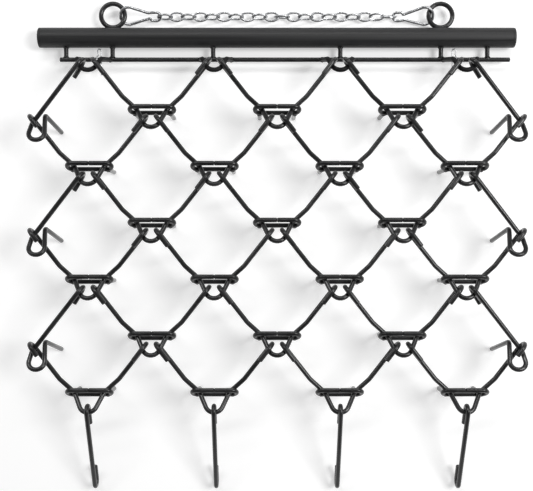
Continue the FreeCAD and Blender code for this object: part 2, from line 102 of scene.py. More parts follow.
def feed(tree, socket, value):
    if isinstance(value, Reading):
        tree.links.new(value.socket, socket)
    elif isinstance(value, bpy.types.NodeSocket):
        tree.links.new(value, socket)
    else:
        socket.default_value = value


class Reading:
    # A socket that can stand in a sum
    def __init__(self, tree, socket):
        self.tree = tree
        self.socket = socket

    def sum(self, operation, first, second):
        made = addNode(self.tree, "ShaderNodeMath", {"operation": operation})
        feed(self.tree, made.inputs[0], first)
        feed(self.tree, made.inputs[1], second)
        return Reading(self.tree, made.outputs[0])

    def __add__(self, other):
        return self.sum("ADD", self, other)

    def __radd__(self, other):
        return self.sum("ADD", other, self)

    def __sub__(self, other):
        return self.sum("SUBTRACT", self, other)

    def __rsub__(self, other):
        return self.sum("SUBTRACT", other, self)

    def __mul__(self, other):
        return self.sum("MULTIPLY", self, other)

    def __rmul__(self, other):
        return self.sum("MULTIPLY", other, self)


class Finish:
    # A material and its shader
    def __init__(self, name):
        self.material = bpy.data.materials.new(name)
        self.material.use_nodes = True
        self.tree = self.material.node_tree
        self.shader = self.tree.nodes["Principled BSDF"]
        self.where = self.node("ShaderNodeTexCoord", output="Object")

    def node(self, kind, settings=None, inputs=None, output=0):
        made = addNode(self.tree, kind, settings, inputs)
        socket = made.outputs[output] if isinstance(output, int) else socketOf(made.outputs, output)
        return Reading(self.tree, socket)

    def noise(self, scale, detail=2.0, stretch=None, roughness=0.5):
        vector = self.where
        if stretch:
            vector = self.node("ShaderNodeMapping", None, {"Vector": vector, "Scale": stretch})
        return self.node("ShaderNodeTexNoise", None,
                         {"Vector": vector, "Scale": scale, "Detail": detail, "Roughness": roughness})

    def between(self, value, low, high):
        # 0 below low, 1 above high
        return self.node("ShaderNodeMapRange", {"interpolation_type": "SMOOTHSTEP"},
                         {"Value": value, "From Min": low, "From Max": high})

    def mixColours(self, factor, first, second):
        return self.node("ShaderNodeMix", {"data_type": "RGBA"},
                         {"Factor_Float": factor, "A_Color": first, "B_Color": second}, "Result_Color")

    def bump(self, height, strength, distance, normal=None):
        inputs = {"Height": height, "Strength": strength, "Distance": distance}
        if normal:
            inputs["Normal"] = normal
        return self.node("ShaderNodeBump", None, inputs)

    def set(self, values):
        for key, value in values.items():
            feed(self.tree, socketOf(self.shader.inputs, key), value)
        return self.material


# Finishes

powderCoat = {
    "dark": (0.0065, 0.0065, 0.007, 1), "light": (0.018, 0.018, 0.019, 1), "dust": (0.075, 0.074, 0.072, 1),
    "patchScale": 24, "patchEdges": (0.36, 0.68), "grainScale": 850, "peelScale": 240,
    "dustScale": 520, "dustEdges": (0.7, 0.76), "dustShare": 0.35,
    # Shapes of the painted reflection streaks along the tube
    "reflectionStretch": (1.6, 120, 120), "reflectionRoughness": 0.65, "reflectionEdges": (0.38, 0.62),
    "roughnessSpread": 0.12, "grainRoughness": 0.06, "glossRoughness": 0.07,
    "peelStrength": 0.14, "grainStrength": 0.2, "peelDistance": 0.00024, "grainDistance": 0.00012,
}


def makePowderCoat(name, bareRoughness, paintedReflection=0.0, gloss=0.0, specular=0.5):
    coat = Finish(name)
    patches = coat.noise(powderCoat["patchScale"], detail=4)
    grain = coat.noise(powderCoat["grainScale"], detail=1)
    peel = coat.noise(powderCoat["peelScale"], detail=2)
    specks = coat.between(coat.noise(powderCoat["dustScale"], detail=1), *powderCoat["dustEdges"])
    tone = coat.between(patches, *powderCoat["patchEdges"])
    if paintedReflection:
        # Painted reflection: lighter lines along the tube stand in for the lamps' streaked reflections
        reflectionLines = coat.noise(1, detail=4, stretch=powderCoat["reflectionStretch"],
                           roughness=powderCoat["reflectionRoughness"])
        tone = tone * (1 - paintedReflection) + coat.between(reflectionLines, *powderCoat["reflectionEdges"]) * paintedReflection
    colour = coat.mixColours(tone, powderCoat["dark"], powderCoat["light"])
    colour = coat.mixColours(specks * powderCoat["dustShare"], colour, powderCoat["dust"])
    roughness = bareRoughness + tone * powderCoat["roughnessSpread"] + grain * powderCoat["grainRoughness"]
    normal = coat.bump(peel, powderCoat["peelStrength"], powderCoat["peelDistance"])
    normal = coat.bump(grain, powderCoat["grainStrength"], powderCoat["grainDistance"], normal)
    return coat.set({
        "Base Color": colour, "Roughness": roughness, "Normal": normal, "Specular IOR Level": specular,
        "Coat Weight": gloss, "Coat Roughness": powderCoat["glossRoughness"]})


zincPlate = {
    "dull": (0.26, 0.265, 0.275, 1), "bright": (0.7, 0.705, 0.715, 1), "patchScale": 95,
    "patchRoughness": 0.6, "patchEdges": (0.28, 0.66), "grainScale": 1400, "roughness": 0.2,
    "roughnessSpread": 0.2, "grainRoughness": 0.05, "bumpStrength": 0.3, "patchDistance": 0.00032,
    "grainDistance": 0.00008,
}


def makeZincPlate(name):
    zinc = Finish(name)
    patches = zinc.noise(zincPlate["patchScale"], detail=4, roughness=zincPlate["patchRoughness"])
    grain = zinc.noise(zincPlate["grainScale"], detail=2)
    tone = zinc.between(patches, *zincPlate["patchEdges"])
    colour = zinc.mixColours(tone, zincPlate["dull"], zincPlate["bright"])
    roughness = zincPlate["roughness"] + (1 - tone) * zincPlate["roughnessSpread"]
    roughness = roughness + grain * zincPlate["grainRoughness"]
    normal = zinc.bump(patches, zincPlate["bumpStrength"], zincPlate["patchDistance"])
    normal = zinc.bump(grain, zincPlate["bumpStrength"], zincPlate["grainDistance"], normal)
    return zinc.set({"Base Color": colour, "Roughness": roughness, "Normal": normal, "Metallic": 1.0})


plugPlastic = {"dark": (0.011, 0.011, 0.012, 1), "light": (0.02, 0.02, 0.021, 1), "grainScale": 1500,
               "cloudScale": 40, "roughness": 0.46, "grainRoughness": 0.18, "bumpStrength": 0.5,
               "bumpDistance": 0.00015}


def makePlugPlastic(name):
    plastic = Finish(name)
    grain = plastic.noise(plugPlastic["grainScale"], detail=2)
    clouds = plastic.noise(plugPlastic["cloudScale"], detail=3)
    colour = plastic.mixColours(clouds, plugPlastic["dark"], plugPlastic["light"])
    roughness = plugPlastic["roughness"] + grain * plugPlastic["grainRoughness"]
    normal = plastic.bump(grain, plugPlastic["bumpStrength"], plugPlastic["bumpDistance"])
    return plastic.set({"Base Color": colour, "Roughness": roughness, "Normal": normal})


barCoat = makePowderCoat("black powder coat on the bars", 0.3, gloss=0.6, specular=0.2)
loopCoat = makePowderCoat("black powder coat on the raised loops", 0.5, specular=0.15)
# The tube's colour carries painted reflection streaks along its length
tubeCoat = makePowderCoat("black powder coat on the tube", 0.42, paintedReflection=0.9)
zinc = makeZincPlate("bright zinc plate")
plastic = makePlugPlastic("black plastic")
print("finishes made")


# Geometry Nodes

class Maker:
    # A tree with named inputs, used as a modifier on a mesh of paths or points
    def __init__(self, name, inputs):
        self.tree = bpy.data.node_groups.new(name, "GeometryNodeTree")
        sockets = self.tree.interface
        sockets.new_socket("Geometry", in_out="INPUT", socket_type="NodeSocketGeometry")
        for label, kind, value in inputs:
            socket = sockets.new_socket(label, in_out="INPUT", socket_type=kind)
            if value is not None:
                socket.default_value = value
        sockets.new_socket("Geometry", in_out="OUTPUT", socket_type="NodeSocketGeometry")
        self.entry = self.tree.nodes.new("NodeGroupInput")
        self.exit = self.tree.nodes.new("NodeGroupOutput")

    def node(self, kind, settings=None, inputs=None, output=0):
        return addNode(self.tree, kind, settings, inputs).outputs[output]

    def input(self, label):
        return self.entry.outputs[label]

    def half(self, value):
        return self.node("ShaderNodeMath", {"operation": "MULTIPLY"}, {"Value": value, "Value_001": 0.5})

    def attribute(self, name):
        return self.node("GeometryNodeInputNamedAttribute", {"data_type": "FLOAT"}, {"Name": name})

    def finish(self, geometry):
        real = self.node("GeometryNodeRealizeInstances", None, {"Geometry": geometry})
        done = self.node("GeometryNodeSetMaterial", None,
                         {"Geometry": real, "Material": self.input("Finish")})
        self.tree.links.new(done, self.exit.inputs[0])

    def use(self, source, values):
        # Runs the tree on a mesh and gives the plain mesh that comes out
        holder = bpy.data.objects.new("holder", source)
        bpy.context.scene.collection.objects.link(holder)
        modifier = holder.modifiers.new("maker", "NODES")
        modifier.node_group = self.tree
        for item in self.tree.interface.items_tree:
            if item.in_out == "INPUT" and item.name in values:
                modifier[item.identifier] = values[item.name]
        bpy.context.view_layer.update()
        ready = holder.evaluated_get(bpy.context.evaluated_depsgraph_get())
        made = bpy.data.meshes.new_from_object(ready)
        holder.modifiers.clear()
        bpy.data.objects.remove(holder)
        bpy.data.meshes.remove(source)
        return made


def makeSweeper():
    # Bars swept along paths, with a bend radius at each corner, then repeated at a pitch
    maker = Maker("bar sweeper", [
        ("Bar Diameter", "NodeSocketFloat", 0.012), ("Sides", "NodeSocketInt", 20),
        ("Bend Steps", "NodeSocketInt", 8), ("Copies", "NodeSocketInt", 1),
        ("Pitch", "NodeSocketVector", (0.1, 0, 0)), ("Finish", "NodeSocketMaterial", None)])
    path = maker.node("GeometryNodeMeshToCurve", None, {"Mesh": maker.input("Geometry")})
    bent = maker.node("GeometryNodeFilletCurve", {"mode": "POLY"}, {
        "Curve": path, "Count": maker.input("Bend Steps"), "Radius": maker.attribute("bend"),
        "Limit Radius": True})
    ring = maker.node("GeometryNodeCurvePrimitiveCircle", {"mode": "RADIUS"}, {
        "Resolution": maker.input("Sides"), "Radius": maker.half(maker.input("Bar Diameter"))})
    bar = maker.node("GeometryNodeCurveToMesh", None, {
        "Curve": bent, "Profile Curve": ring, "Scale": maker.attribute("girth"), "Fill Caps": True})
    bar = maker.node("GeometryNodeSetShadeSmooth", None, {"Geometry": bar})
    line = maker.node("GeometryNodeMeshLine", {"mode": "OFFSET"}, {
        "Count": maker.input("Copies"), "Offset": maker.input("Pitch")})
    maker.finish(maker.node("GeometryNodeInstanceOnPoints", None, {"Points": line, "Instance": bar}))
    return maker


def makeWelder():
    # Overlapping beads along the seam of a weld, each a little larger or smaller and turned
    maker = Maker("weld beads", [
        ("Bead Size", "NodeSocketFloat", 0.002), ("Spacing", "NodeSocketFloat", 0.0016),
        ("Smallest", "NodeSocketFloat", 0.82), ("Largest", "NodeSocketFloat", 1.12),
        ("Turn", "NodeSocketVector", (3.0, 3.0, 3.0)), ("Seed", "NodeSocketInt", 3),
        ("Finish", "NodeSocketMaterial", None)])
    path = maker.node("GeometryNodeMeshToCurve", None, {"Mesh": maker.input("Geometry")})
    points = maker.node("GeometryNodeResampleCurve", {"mode": "LENGTH"},
                        {"Curve": path, "Length": maker.input("Spacing")})
    bead = maker.node("GeometryNodeMeshIcoSphere", None,
                      {"Radius": maker.input("Bead Size"), "Subdivisions": 2})
    bead = maker.node("GeometryNodeSetShadeSmooth", None, {"Geometry": bead})
    limits = {"Min_001": maker.input("Smallest"), "Max_001": maker.input("Largest"),
              "Seed": maker.input("Seed")}
    size = maker.node("FunctionNodeRandomValue", {"data_type": "FLOAT"}, limits, 1)
    turn = maker.node("FunctionNodeRandomValue", {"data_type": "FLOAT_VECTOR"},
                      {"Max": maker.input("Turn"), "Seed": maker.input("Seed")})
    maker.finish(maker.node("GeometryNodeInstanceOnPoints", None,
                            {"Points": points, "Instance": bead, "Scale": size, "Rotation": turn}))
    return maker


def makeLinker():
    # Oval chain links on points, each rolled by its own angle
    maker = Maker("chain linker", [
        ("Wire Diameter", "NodeSocketFloat", 0.006), ("Length", "NodeSocketFloat", 0.037),
        ("Width", "NodeSocketFloat", 0.021), ("Steps", "NodeSocketInt", 28), ("Sides", "NodeSocketInt", 14),
        ("Finish", "NodeSocketMaterial", None)])
    oval = maker.node("GeometryNodeCurvePrimitiveCircle", {"mode": "RADIUS"},
                      {"Resolution": maker.input("Steps"), "Radius": 0.5})
    stretch = maker.node("ShaderNodeCombineXYZ", None, {
        "X": maker.input("Length"), "Y": maker.input("Width"), "Z": 1.0})
    oval = maker.node("GeometryNodeTransform", None, {"Geometry": oval, "Scale": stretch})
    ring = maker.node("GeometryNodeCurvePrimitiveCircle", {"mode": "RADIUS"}, {
        "Resolution": maker.input("Sides"), "Radius": maker.half(maker.input("Wire Diameter"))})
    link = maker.node("GeometryNodeCurveToMesh", None, {"Curve": oval, "Profile Curve": ring})
    link = maker.node("GeometryNodeSetShadeSmooth", None, {"Geometry": link})
    roll = maker.node("ShaderNodeCombineXYZ", None, {"X": maker.attribute("roll")})
    maker.finish(maker.node("GeometryNodeInstanceOnPoints", None,
                            {"Points": maker.input("Geometry"), "Instance": link, "Rotation": roll}))
    return maker


sweeper = makeSweeper()
welder = makeWelder()
linker = makeLinker()


# Paths and pieces

def place(x, y, z):
    return origin + Vector((x, y, z)) * mm


def path(corners, bends, closed=False, point=None):
    # Corners in millimetres with a bend radius for each inner one; open ends get a small chamfer
    corners = [Vector(corner) for corner in corners]
    if closed:
        return {"corners": corners, "bends": bends, "girths": [1.0] * len(corners), "closed": True}
    length, share = point or (bars["chamfer"], bars["chamferShare"])
    start = corners[0] + (corners[1] - corners[0]).normalized() * bars["chamfer"]
    end = corners[-1] + (corners[-2] - corners[-1]).normalized() * length
    return {
        "corners": [corners[0], start] + corners[1:-1] + [end, corners[-1]],
        "bends": [0, 0] + list(bends) + [0, 0],
        "girths": [bars["chamferShare"], 1.0] + [1.0] * (len(corners) - 2) + [1.0, share],
        "closed": False,
    }


def pathMesh(paths):
    corners, bends, girths, edges = [], [], [], []
    for item in paths:
        first = len(corners)
        corners += [place(*corner) for corner in item["corners"]]
        bends += [bend * mm for bend in item["bends"]]
        girths += item["girths"]
        last = len(corners) - 1
        edges += [(number, number + 1) for number in range(first, last)]
        if item["closed"]:
            edges.append((last, first))
    mesh = bpy.data.meshes.new("paths")
    mesh.from_pydata(corners, edges, [])
    for name, values in (("bend", bends), ("girth", girths)):
        mesh.attributes.new(name, "FLOAT", "POINT").data.foreach_set("value", values)
    return mesh


def sweep(paths, finish=None, diameter=None, sides=None, steps=None, copies=1, pitch=(0, 0, 0)):
    values = {
        "Bar Diameter": (diameter or bars["diameter"]) * mm, "Sides": sides or bars["sides"],
        "Bend Steps": steps or bars["bendSteps"], "Copies": copies,
        "Pitch": tuple(length * mm for length in pitch), "Finish": finish or barCoat}
    return sweeper.use(pathMesh(paths), values)


seam = {"bead": 1.7, "spacing": 1.5, "seed": 3, "proud": 0.2, "standOff": 0.3}


def weld(paths, size=seam["bead"], spacing=seam["spacing"], seed=seam["seed"]):
    values = {"Bead Size": size * mm, "Spacing": spacing * mm, "Seed": seed, "Finish": barCoat}
    return welder.use(pathMesh(paths), values)


def joined(meshes):
    # One mesh out of several, with their materials kept
    if len(meshes) == 1:
        return meshes[0]
    whole = bmesh.new()
    materials = []
    for mesh in meshes:
        before = len(whole.faces)
        whole.from_mesh(mesh)
        whole.faces.ensure_lookup_table()
        slots = []
        for material in mesh.materials:
            if material not in materials:
                materials.append(material)
            slots.append(materials.index(material))
        for face in whole.faces[before:]:
            face.material_index = slots[face.material_index]
        bpy.data.meshes.remove(mesh)
    result = bpy.data.meshes.new("joined")
    whole.to_mesh(result)
    whole.free()
    for material in materials:
        result.materials.append(material)
    return result


def outward(mesh):
    shape = bmesh.new()
    shape.from_mesh(mesh)
    bmesh.ops.recalc_face_normals(shape, faces=shape.faces)
    shape.to_mesh(mesh)
    shape.free()


def addPiece(name, meshes, body, nodes):
    mesh = joined(meshes)
    outward(mesh)
    for face in mesh.polygons:
        face.use_smooth = True
    mesh.set_sharp_from_angle(angle=math.radians(bars["smoothAngle"]))
    mesh.name = name
    piece = bpy.data.objects.new(name, mesh)
    bpy.context.scene.collection.objects.link(piece)
    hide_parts(*nodes)
    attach(piece, body)
    return piece


def circlePath(centre, radius, axis, count=24):
    axis = Vector(axis).normalized()
    side = axis.orthogonal().normalized()
    other = axis.cross(side)
    corners = []
    for number in range(count):
        angle = 2 * math.pi * number / count
        corners.append(Vector(centre) + (side * math.cos(angle) + other * math.sin(angle)) * radius)
    return path(corners, [0] * count, True)


def mirrored(points):
    return [Vector((-point[0], point[1], point[2])) for point in points]


def shifted(points, x=0.0, y=0.0, z=0.0):
    return [Vector(point) + Vector((x, y, z)) for point in points]


def lathe(profile, centre, axis, sides, finish):
    # Turns a profile of (along, radius) pairs round an axis; an open one gets a flat face at each end
    axis = Vector(axis).normalized()
    side = axis.orthogonal().normalized()
    other = axis.cross(side)
    corners, faces = [], []
    for along, radius in profile:
        for number in range(sides):
            angle = 2 * math.pi * number / sides
            spoke = side * math.cos(angle) + other * math.sin(angle)
            corners.append(place(*(Vector(centre) + axis * along + spoke * radius)))
    for ring in range(len(profile) - 1):
        for number in range(sides):
            following = (number + 1) % sides
            faces.append((ring * sides + number, ring * sides + following,
                          (ring + 1) * sides + following, (ring + 1) * sides + number))
    if profile[0] != profile[-1]:
        faces.append(tuple(range(sides))[::-1])
        faces.append(tuple(range((len(profile) - 1) * sides, len(profile) * sides)))
    mesh = bpy.data.meshes.new("lathe")
    mesh.from_pydata(corners, [], faces)
    mesh.materials.append(finish)
    return mesh


# Links of the mat

link = {
    "waistHalfWidth": 37.0, "kneeOut": 36.5, "kneeAhead": 33.0, "kneeRise": 2.0, "kneeBend": 42.0,
    "waistBend": 15.0, "loopLength": 52.0, "loopTilt": 28.0, "loopRadius": 22.0, "hookSide": 21.8,
    "hookRadius": 16.6, "hookReach": 15.9, "tail": 35.0, "outerTail": 20.0, "tailSplay": -0.5,
}
tilt = math.radians(link["loopTilt"])


def loopCorner():
    reach = link["loopLength"] - link["loopRadius"]
    half = math.acos(link["loopRadius"] / math.hypot(link["waistHalfWidth"], reach))
    half -= math.atan2(reach, link["waistHalfWidth"])
    return link["waistHalfWidth"] / math.tan(half)


def onLoop(across, along):
    return Vector((across, -along * math.cos(tilt), along * math.sin(tilt)))


def crossingOnLoop():
    return onLoop(link["hookSide"], loopCorner() * (1 - link["hookSide"] / link["waistHalfWidth"]))


def hookCorners(hold, along, rise, tail, splay, reach):
    lift = Vector((0, 0, link["hookRadius"] * rise))
    side = Vector((0, 0, 1)).cross(along) * splay
    past = along * reach
    return [hold + along * tail + lift + side, hold - past + lift, hold - past - lift]


def flat(vector):
    return Vector((vector[0], vector[1], 0)).normalized()


knee = Vector((-link["waistHalfWidth"] - link["kneeOut"], link["kneeAhead"], link["kneeRise"]))
armHold = Vector((-layout["linkPitch"] / 2, layout["rowPitch"], 0)) + crossingOnLoop()
armAlong = flat(knee - armHold)


def linkHalf(tail):
    corners = hookCorners(armHold, armAlong, 1, tail, link["tailSplay"], link["hookReach"])
    return corners + [knee, Vector((-link["waistHalfWidth"], 0, 0))]


def linkPath(centre, leftTail, rightTail):
    right = mirrored(linkHalf(rightTail))[::-1]
    corners = linkHalf(leftTail) + [onLoop(0, loopCorner())] + right
    hook, kneeBend, waistBend = link["hookRadius"], link["kneeBend"], link["waistBend"]
    bends = [hook, hook, kneeBend, waistBend, link["loopRadius"], waistBend, kneeBend, hook, hook]
    return path(shifted(corners, *centre), bends)


def rowY(row):
    return -layout["rowPitch"] * row


def waistsOf(row):
    count = layout["wideRowLinks"] - row % 2
    return [(number - (count - 1) / 2) * layout["linkPitch"] for number in range(count)]


def rowPitch():
    return (layout["linkPitch"], 0, 0)


def addLinks(row):
    waists = waistsOf(row)
    centres = [(x, rowY(row), layout["armHeight"]) for x in waists]
    tail, outer = link["tail"], link["outerTail"]
    if row % 2:
        meshes = [sweep([linkPath(centres[0], tail, tail)], copies=len(waists), pitch=rowPitch())]
    else:
        edges = [linkPath(centres[0], outer, tail), linkPath(centres[-1], tail, outer)]
        inner = sweep([linkPath(centres[1], tail, tail)], copies=len(waists) - 2, pitch=rowPitch())
        meshes = [sweep(edges), inner]
    nodes = [f"link_row{row}_{number}" for number in range(1, len(waists) + 1)]
    addPiece(f"links_row_{row}", meshes, f"row_{row}", nodes)


# Collars and their tines

collar = {"halfLength": 60.5, "frontY": 6.51, "frontZ": 12.42, "rearZ": -10.13, "jointGap": 0.1,
          "bendGap": 0.1, "tineOut": 44.0, "tineTip": 2.5, "tineTipShare": 0.6}


def collarPath(centre):
    front = Vector((0, collar["frontY"], collar["frontZ"]))
    rear = Vector((0, -collar["frontY"], collar["rearZ"]))
    radius = (front - rear).length / 2 - collar["bendGap"]
    end = Vector((collar["halfLength"] - bars["diameter"] / 2, 0, 0))
    gap = Vector((collar["jointGap"], 0, 0))
    corners = [front - gap, front - end, rear - end, rear + end, front + end, front + gap]
    return path(shifted(corners, *centre), [radius] * 4)


def tinePath(centre, side):
    top = Vector(centre) + Vector((side * collar["tineOut"], -collar["frontY"], collar["rearZ"]))
    return path([top, (top.x, top.y, 0)], [], point=(collar["tineTip"], collar["tineTipShare"]))


def addCollars(row):
    count = len(waistsOf(row))
    first = (waistsOf(row)[0], rowY(row), layout["armHeight"])
    ring = sweep([collarPath(first)], copies=count, pitch=rowPitch())
    addPiece(f"collars_row_{row}", [ring], f"row_{row}", [f"collars_row{row}"])
    tines = sweep([tinePath(first, -1), tinePath(first, 1)], copies=count, pitch=rowPitch())
    seams = []
    for x in waistsOf(row):
        for side in (-1, 1):
            top = (x + side * collar["tineOut"], rowY(row) - collar["frontY"],
                   layout["armHeight"] + collar["rearZ"] - bars["diameter"] / 2)
            seams.append(circlePath(top, bars["diameter"] / 2 + seam["proud"], (0, 0, 1)))
    beads = weld(seams, seed=row)
    addPiece(f"tines_row_{row}", [tines, beads], f"row_{row}", [f"tines_row{row}"])


# Side bars with their eyes and tines

sideBar = {
    "tail": 34.0, "tailSplay": 6.0, "hookReach": 15.0, "kink": 8.0, "kinkBend": 14.0, "eyeLeft": 13.5,
    "eyeRight": 31.0, "eyeDepth": 48.0, "eyeBend": 19.0, "tineOut": 24.0, "tineAhead": 17.0,
    "tineLeanIn": 19.0, "tineLeanBack": 32.0, "tineBend": 10.0, "tineTip": 7.0, "tineTipShare": 0.45,
}


def sideBarPath(row, side):
    outerX = waistsOf(0)[0]
    hold = Vector((outerX, rowY(row - 1), layout["armHeight"])) + mirrored([crossingOnLoop()])[0]
    eyeHold = Vector((outerX, rowY(row + 1), layout["armHeight"])) + armHold
    along = flat(eyeHold - hold)
    corners = hookCorners(hold, along, -1, sideBar["tail"], sideBar["tailSplay"], sideBar["hookReach"])
    kink = eyeHold + (eyeHold - corners[-1]).normalized() * sideBar["kink"]

    def eyePoint(across, ahead):
        rise = (kink.y - eyeHold.y - ahead) * math.tan(tilt)
        return Vector((eyeHold.x + across, eyeHold.y + ahead, kink.z + rise))

    top = eyePoint(sideBar["tineOut"], sideBar["tineAhead"])
    corners += [kink, eyePoint(-sideBar["eyeLeft"], -sideBar["eyeDepth"]),
                eyePoint(sideBar["eyeRight"], -sideBar["eyeDepth"]), top,
                Vector((top.x + sideBar["tineLeanIn"], top.y - sideBar["tineLeanBack"], 0))]
    bends = [link["hookRadius"]] * 2 + [sideBar["kinkBend"], sideBar["eyeBend"], sideBar["eyeBend"],
                                        sideBar["tineBend"]]
    if side > 0:
        corners = mirrored(corners)
    return path(corners, bends, point=(sideBar["tineTip"], sideBar["tineTipShare"]))


def addSideBars(row):
    for side, label in ((-1, "left"), (1, "right")):
        mesh = sweep([sideBarPath(row, side)])
        addPiece(f"side_bar_{row}_{label}", [mesh], f"row_{row}", [f"side_bar_row{row}_{label}"])


# Hooks behind the last row

endHook = {"radius": 13.5, "length": 222.0, "play": 2.0, "seat": 11.95, "tail": 46.0, "tip": 38.0,
           "slope": 28.4}


def addEndHooks():
    slope = math.radians(endHook["slope"])
    back = Vector((0, -math.cos(slope), -math.sin(slope)))
    over = Vector((0, -math.sin(slope), math.cos(slope)))
    radius = endHook["radius"]
    under = over * (-2 * radius)
    for number, x in enumerate(waistsOf(layout["rowCount"]), 1):
        waist = Vector((x, rowY(layout["rowCount"]), layout["armHeight"]))
        shank = waist + onLoop(0, link["loopLength"]) + over * endHook["seat"]
        front = shank - back * (endHook["play"] + radius)
        rear = shank + back * (endHook["length"] + radius)
        tail = front + under + back * (endHook["play"] + radius + endHook["tail"])
        tip = rear + under - back * (radius + endHook["tip"])
        mesh = sweep([path([tail, front + under, front, rear, rear + under, tip], [radius] * 4)])
        addPiece(f"rear_hook_{number}", [mesh], f"trailing_hook_{number}", [f"end_hook_{number}"])


for row in range(1, layout["rowCount"] + 1):
    addLinks(row)
    addCollars(row)
    if row % 2:
        addSideBars(row)
addEndHooks()
print("mat made")


# Drawbar

hanger = {"rodLeft": -556.0, "rodRight": 598.0, "posts": (163.0, 421.0, 540.0), "footHalfWidth": 39.5,
          "shoulderShare": 0.34, "shoulderBend": 9.0, "postSink": 2.0, "seamUp": 0.8, "seamProud": 0.3,
          "bead": 1.1, "beadSpacing": 1.2, "beadSeed": 8}
ring = {"place": 420.0, "radius": 30.45, "hold": 31.5, "wire": 11.9, "sink": 6.3, "corners": 72, "sides": 28,
        "saddleHalf": 17.0, "saddleHalfSteps": 4, "saddleLift": 0.6, "saddleBow": 0.012, "seamHeight": 3.4,
        "seamFall": 0.008, "bead": 1.9, "beadSpacing": 1.6, "beadSeed": 5}
tubeY = tube["radius"] + tube["postLength"] + bars["solidRadius"]
ringY = tubeY + tube["radius"] + ring["hold"] + bars["solidRadius"] - ring["sink"]


def addTube():
    half, outside, edge = tube["length"] / 2, tube["radius"], tube["edge"]
    inside = outside - tube["wall"]
    leftEnd = [(-half + edge, inside), (-half, inside + edge), (-half, outside - edge),
               (-half + edge, outside)]
    rightEnd = [(-along, reach) for along, reach in leftEnd[::-1]]
    profile = leftEnd + rightEnd + leftEnd[:1]
    mesh = lathe(profile, (0, tubeY, tube["radius"]), (1, 0, 0), tube["sides"], tubeCoat)
    addPiece("tube", [mesh], "drawbar", ["tow_tube"])


endPlug = {"thickness": 6.0, "depth": 22.0, "round": 2.0, "roundSteps": 6, "gap": 0.1, "inset": 0.1,
           "lead": 1.0, "dish": 0.5, "dishRim": 7.0, "dishCentre": 1.0, "sides": 64}


def addPlugs():
    meshes = []
    outside, soft = tube["radius"] - endPlug["inset"], endPlug["round"]
    inside = tube["radius"] - tube["wall"] - endPlug["gap"]
    depth, lead, face = endPlug["depth"], endPlug["lead"], endPlug["thickness"] - endPlug["dish"]
    profile = [(-depth, inside - lead), (-depth + lead, inside), (0, inside), (0, outside)]
    for step in range(endPlug["roundSteps"] + 1):
        angle = math.radians(90 * step / endPlug["roundSteps"])
        profile.append((endPlug["thickness"] - soft + soft * math.sin(angle),
                        outside - soft + soft * math.cos(angle)))
    profile += [(face, outside - endPlug["dishRim"]), (face, endPlug["dishCentre"])]
    for side in (-1, 1):
        centre = (side * tube["length"] / 2, tubeY, tube["radius"])
        meshes.append(lathe(profile, centre, (side, 0, 0), endPlug["sides"], plastic))
    addPiece("plugs", meshes, "drawbar", ["tube_plugs"])


def addHanger():
    height = tube["radius"]
    radius = bars["diameter"] / 2
    rod = sweep([path([(hanger["rodLeft"], 0, height), (hanger["rodRight"], 0, height)], [])])
    addPiece("rod", [rod], "drawbar", ["hanger_rod"])

    posts, seams = [], []
    tubeFace = tubeY - tube["radius"]
    for x in hanger["posts"]:
        for side in (-1, 1):
            posts.append(path([(side * x, 0, height), (side * x, tubeFace + hanger["postSink"], height)], []))
            for y in (radius + seam["standOff"], tubeFace - seam["standOff"]):
                seams.append(circlePath((side * x, y, height), radius + seam["proud"], (0, 1, 0)))
    addPiece("posts", [sweep(posts), weld(seams)], "drawbar", ["hanger_posts"])

    share = hanger["shoulderShare"] * link["loopLength"]
    width = link["waistHalfWidth"] * (1 - share / loopCorner())
    first = (waistsOf(0)[0], 0, layout["armHeight"])
    shoulder = onLoop(width, share)
    foot = Vector((hanger["footHalfWidth"], 0, height - layout["armHeight"]))
    half = [foot, shoulder]
    corners = mirrored(half) + [onLoop(0, loopCorner())] + half[::-1]
    bends = [hanger["shoulderBend"], link["loopRadius"], hanger["shoulderBend"]]
    count = layout["wideRowLinks"]
    loops = sweep([path(shifted(corners, *first), bends)], loopCoat, copies=count, pitch=rowPitch())
    seams = []
    for x in waistsOf(0):
        for side in (-1, 1):
            leg = (shoulder - foot).normalized()
            leg.x *= side
            seat = Vector((x + side * hanger["footHalfWidth"], 0, height))
            seat += leg * (radius + hanger["seamUp"])
            seams.append(circlePath(seat, radius + hanger["seamProud"], leg))
    beads = weld(seams, hanger["bead"], hanger["beadSpacing"], hanger["beadSeed"])
    addPiece("raised_loops", [loops, beads], "drawbar", ["hanger_loops"])


def addRings():
    paths, seams = [], []
    for side in (-1, 1):
        centre = Vector((side * ring["place"], ringY, tube["radius"]))
        paths.append(circlePath(centre, ring["radius"], (0, 0, 1), ring["corners"]))
        for lift in (-1, 1):
            # Along the saddle where the ring's wire meets the tube
            corners = []
            for step in range(-ring["saddleHalfSteps"], ring["saddleHalfSteps"] + 1):
                x = step / ring["saddleHalfSteps"] * ring["saddleHalf"]
                corners.append((side * ring["place"] + x,
                                tubeY + tube["radius"] + ring["saddleLift"] + ring["saddleBow"] * x * x,
                                tube["radius"] + lift * (ring["seamHeight"] - ring["seamFall"] * x * x)))
            seams.append(path(corners, [0] * (len(corners) - 2)))
    rings = sweep(paths, diameter=ring["wire"], sides=ring["sides"])
    beads = weld(seams, ring["bead"], ring["beadSpacing"], ring["beadSeed"])
    addPiece("rings", [rings, beads], "drawbar", ["tow_rings"])


hairpin = {"place": 450.0, "wire": 3.0, "leg": 40.0, "reach": 20.0, "lean": 50.0, "dipShare": 0.6, "tip": 7.0,
           "ride": 8.25, "bend": 7.0, "sides": 14, "bendSteps": 6}


